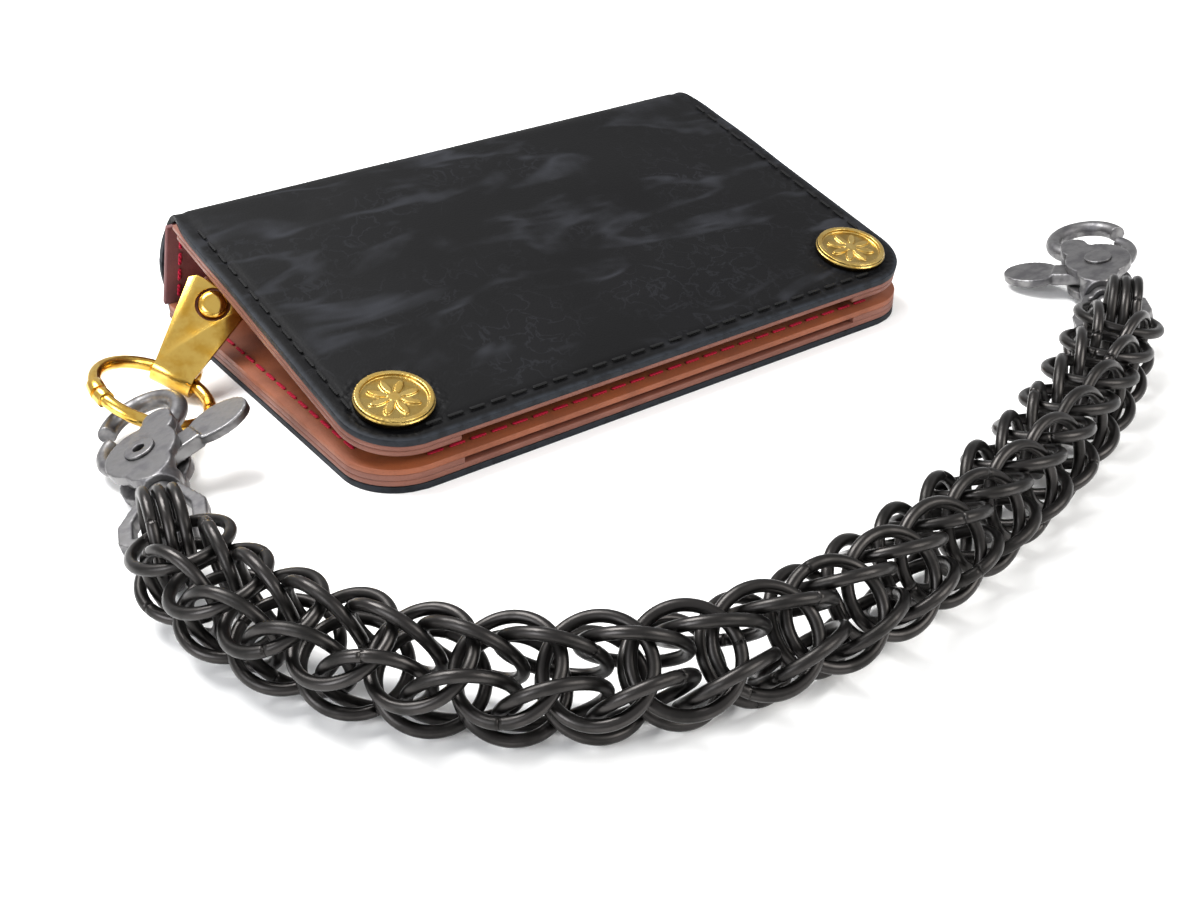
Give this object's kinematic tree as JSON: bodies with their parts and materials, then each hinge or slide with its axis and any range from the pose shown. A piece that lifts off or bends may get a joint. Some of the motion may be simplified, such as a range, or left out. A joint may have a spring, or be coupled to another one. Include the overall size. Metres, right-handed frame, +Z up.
{
  "type": "chain wallet",
  "caption": "Bifold leather wallet with two snap fasteners, a brass clamp and gate ring, and a jump-ring chain with a trigger snap at each end.",
  "frame": {"origin": "underside of the back cover, midway along the fold; X runs along the fold, the spine is towards +Y", "axes": "+Z up from the surface the wallet lies on, +Y towards the spine, +X towards the free snap's end"},
  "size_m": [0.2393, 0.1846, 0.0286],
  "materials": {
    "black_pull_up_leather": "waxed pull-up leather, semi-matte with grey creases",
    "tan_lining_leather": "vegetable-tanned, lightly burnished",
    "oxblood_leather": "smooth dyed lining",
    "black_thread": "waxed thread",
    "crimson_thread": "waxed thread",
    "antique_nickel": "tumbled antique nickel over cast zinc",
    "polished_brass": "polished, lightly handled",
    "black_oxide_steel": "black-oxide spring steel, satin"
  },
  "bodies": {
    "back_half": {"bottom_cover": "black_pull_up_leather", "bottom_lining": "tan_lining_leather", "note_pocket_panel": "tan_lining_leather", "bottom_pocket_panel": "tan_lining_leather", "bottom_lining_stitching": "crimson_thread", "snap_stud_left": "polished_brass", "snap_stud_right": "polished_brass", "snap_post_left": "polished_brass", "snap_post_right": "polished_brass", "chain_tab": "tan_lining_leather", "clamp_plate": "polished_brass", "clamp_rivet": "polished_brass"},
    "spine": {"spine_cover": "black_pull_up_leather", "spine_lining": "oxblood_leather", "spine_stitching": "crimson_thread"},
    "front_half": {"top_cover": "black_pull_up_leather", "top_lining": "tan_lining_leather", "top_pocket_panel": "tan_lining_leather", "cover_stitching": "black_thread", "card_slip_1": "tan_lining_leather", "card_slip_2": "tan_lining_leather", "card_slip_3": "tan_lining_leather", "snap_cap_left": "polished_brass", "snap_cap_right": "polished_brass", "snap_socket_left": "polished_brass", "snap_socket_right": "polished_brass"},
    "ring": {"ring_body": "polished_brass"},
    "gate": {"ring_gate": "polished_brass"},
    "snap_left": {"hook_left": "antique_nickel", "lever_rivet_left": "antique_nickel", "lever_spring_left": "antique_nickel", "swivel_pin_left": "antique_nickel"},
    "thumb_lever_left": {"lever_left": "antique_nickel"},
    "stirrup_left": {"strap_eye_left": "antique_nickel"},
    "links_at_left_snap": {"end_rings_left": "black_oxide_steel"},
    "chain_01": {"chain_section_01": "black_oxide_steel"},
    "chain_02": {"chain_section_02": "black_oxide_steel"},
    "chain_03": {"chain_section_03": "black_oxide_steel"},
    "chain_04": {"chain_section_04": "black_oxide_steel"},
    "chain_05": {"chain_section_05": "black_oxide_steel"},
    "chain_06": {"chain_section_06": "black_oxide_steel"},
    "chain_07": {"chain_section_07": "black_oxide_steel"},
    "chain_08": {"chain_section_08": "black_oxide_steel"},
    "chain_09": {"chain_section_09": "black_oxide_steel"},
    "chain_10": {"chain_section_10": "black_oxide_steel"},
    "links_at_right_snap": {"end_rings_right": "black_oxide_steel"},
    "stirrup_right": {"strap_eye_right": "antique_nickel"},
    "snap_right": {"hook_right": "antique_nickel", "lever_rivet_right": "antique_nickel", "lever_spring_right": "antique_nickel", "swivel_pin_right": "antique_nickel"},
    "thumb_lever_right": {"lever_right": "antique_nickel"}
  },
  "joints": [
    {"name": "spine_fold", "type": "hinge", "parent": "back_half", "child": "spine", "pos_m": [0, 0.0523, 0.0007], "axis": [-1, 0, 0], "range_deg": [0, 105]},
    {"name": "cover_fold", "type": "hinge", "parent": "spine", "child": "front_half", "pos_m": [0, 0.04128, 0.02789], "axis": [-1, 0, 0], "range_deg": [0, 75]},
    {"name": "ring_swing", "type": "hinge", "parent": "back_half", "child": "ring", "pos_m": [-0.07879, 0.01634, 0.00459], "axis": [-0.6074, 0.6903, 0.3932], "range_deg": [-1, 8]},
    {"name": "gate_hinge", "type": "hinge", "parent": "ring", "child": "gate", "pos_m": [-0.07729, 0.00445, 0.00158], "axis": [0.3808, -0.1813, 0.9067], "range_deg": [0, 8], "stiffness_Nm_per_rad": 0.02, "springref_deg": -17.19},
    {"name": "hook_swing_left", "type": "hinge", "parent": "ring", "child": "snap_left", "pos_m": [-0.0866, 0.0085, 0.0063], "axis": [-0.3808, 0.1813, -0.9067], "range_deg": [-2, 8]},
    {"name": "thumb_lever_left", "type": "hinge", "parent": "snap_left", "child": "thumb_lever_left", "pos_m": [-0.0972, -0.0157, 0.006], "axis": [0.3202, -0.1203, -0.9397], "range_deg": [0, 14], "stiffness_Nm_per_rad": 0.06, "springref_deg": -22.92},
    {"name": "thumb_lever_right", "type": "hinge", "parent": "snap_right", "child": "thumb_lever_right", "pos_m": [0.1041, -0.0623, 0.0063], "axis": [-0.1632, 0.1289, 0.9781], "range_deg": [0, 14], "stiffness_Nm_per_rad": 0.06, "springref_deg": -22.92},
    {"name": "swivel_left", "type": "hinge", "parent": "snap_left", "child": "stirrup_left", "pos_m": [-0.10089, -0.03087, 0.00668], "axis": [0.3518, 0.9361, 0], "continuous": true},
    {"name": "links_pitch_left", "type": "hinge", "parent": "stirrup_left", "child": "links_at_left_snap", "pos_m": [-0.10441, -0.04023, 0.00668], "axis": [0.9083, -0.3414, 0.2419], "range_deg": [-4, 8]},
    {"name": "links_yaw_left", "type": "hinge", "parent": "links_at_left_snap", "child": "chain_01", "pos_m": [-0.10552, -0.04653, 0.0098], "axis": [0, 0, -1], "range_deg": [-4, 6]},
    {"name": "chain_bend_01", "type": "hinge", "parent": "chain_01", "child": "chain_02", "pos_m": [-0.10259, -0.07406, 0.0098], "axis": [0, 0, 1], "range_deg": [-4, 3]},
    {"name": "chain_bend_02", "type": "hinge", "parent": "chain_02", "child": "chain_03", "pos_m": [-0.09076, -0.09552, 0.0098], "axis": [0, 0, -1], "range_deg": [-4, 4]},
    {"name": "chain_bend_03", "type": "hinge", "parent": "chain_03", "child": "chain_04", "pos_m": [-0.07292, -0.11226, 0.0098], "axis": [0, 0, 1], "range_deg": [-4, 4]},
    {"name": "chain_bend_04", "type": "hinge", "parent": "chain_04", "child": "chain_05", "pos_m": [-0.05005, -0.12092, 0.0098], "axis": [0, 0, -1], "range_deg": [-4, 4]},
    {"name": "chain_bend_05", "type": "hinge", "parent": "chain_05", "child": "chain_06", "pos_m": [-0.02556, -0.1216, 0.0098], "axis": [0, 0, 1], "range_deg": [-4, 4]},
    {"name": "chain_bend_06", "type": "hinge", "parent": "chain_06", "child": "chain_07", "pos_m": [-0.00127, -0.11781, 0.0098], "axis": [0, 0, -1], "range_deg": [-4, 4]},
    {"name": "chain_bend_07", "type": "hinge", "parent": "chain_07", "child": "chain_08", "pos_m": [0.02255, -0.11168, 0.0098], "axis": [0, 0, 1], "range_deg": [-4, 4]},
    {"name": "chain_bend_08", "type": "hinge", "parent": "chain_08", "child": "chain_09", "pos_m": [0.04566, -0.10327, 0.0098], "axis": [0, 0, -1], "range_deg": [-4, 4]},
    {"name": "chain_bend_09", "type": "hinge", "parent": "chain_09", "child": "chain_10", "pos_m": [0.06783, -0.09264, 0.0098], "axis": [0, 0, 1], "range_deg": [-4, 4]},
    {"name": "links_yaw_right", "type": "hinge", "parent": "chain_10", "child": "links_at_right_snap", "pos_m": [0.08131, -0.08474, 0.0098], "axis": [0, 0, 1], "range_deg": [-5, 5]},
    {"name": "links_pitch_right", "type": "hinge", "parent": "links_at_right_snap", "child": "stirrup_right", "pos_m": [0.08676, -0.0811, 0.00588], "axis": [0.7464, -0.5894, 0.309], "range_deg": [-6, 1]},
    {"name": "swivel_right", "type": "hinge", "parent": "stirrup_right", "child": "snap_right", "pos_m": [0.09296, -0.07325, 0.00588], "axis": [0.6198, 0.7848, 0], "continuous": true}
  ]
}
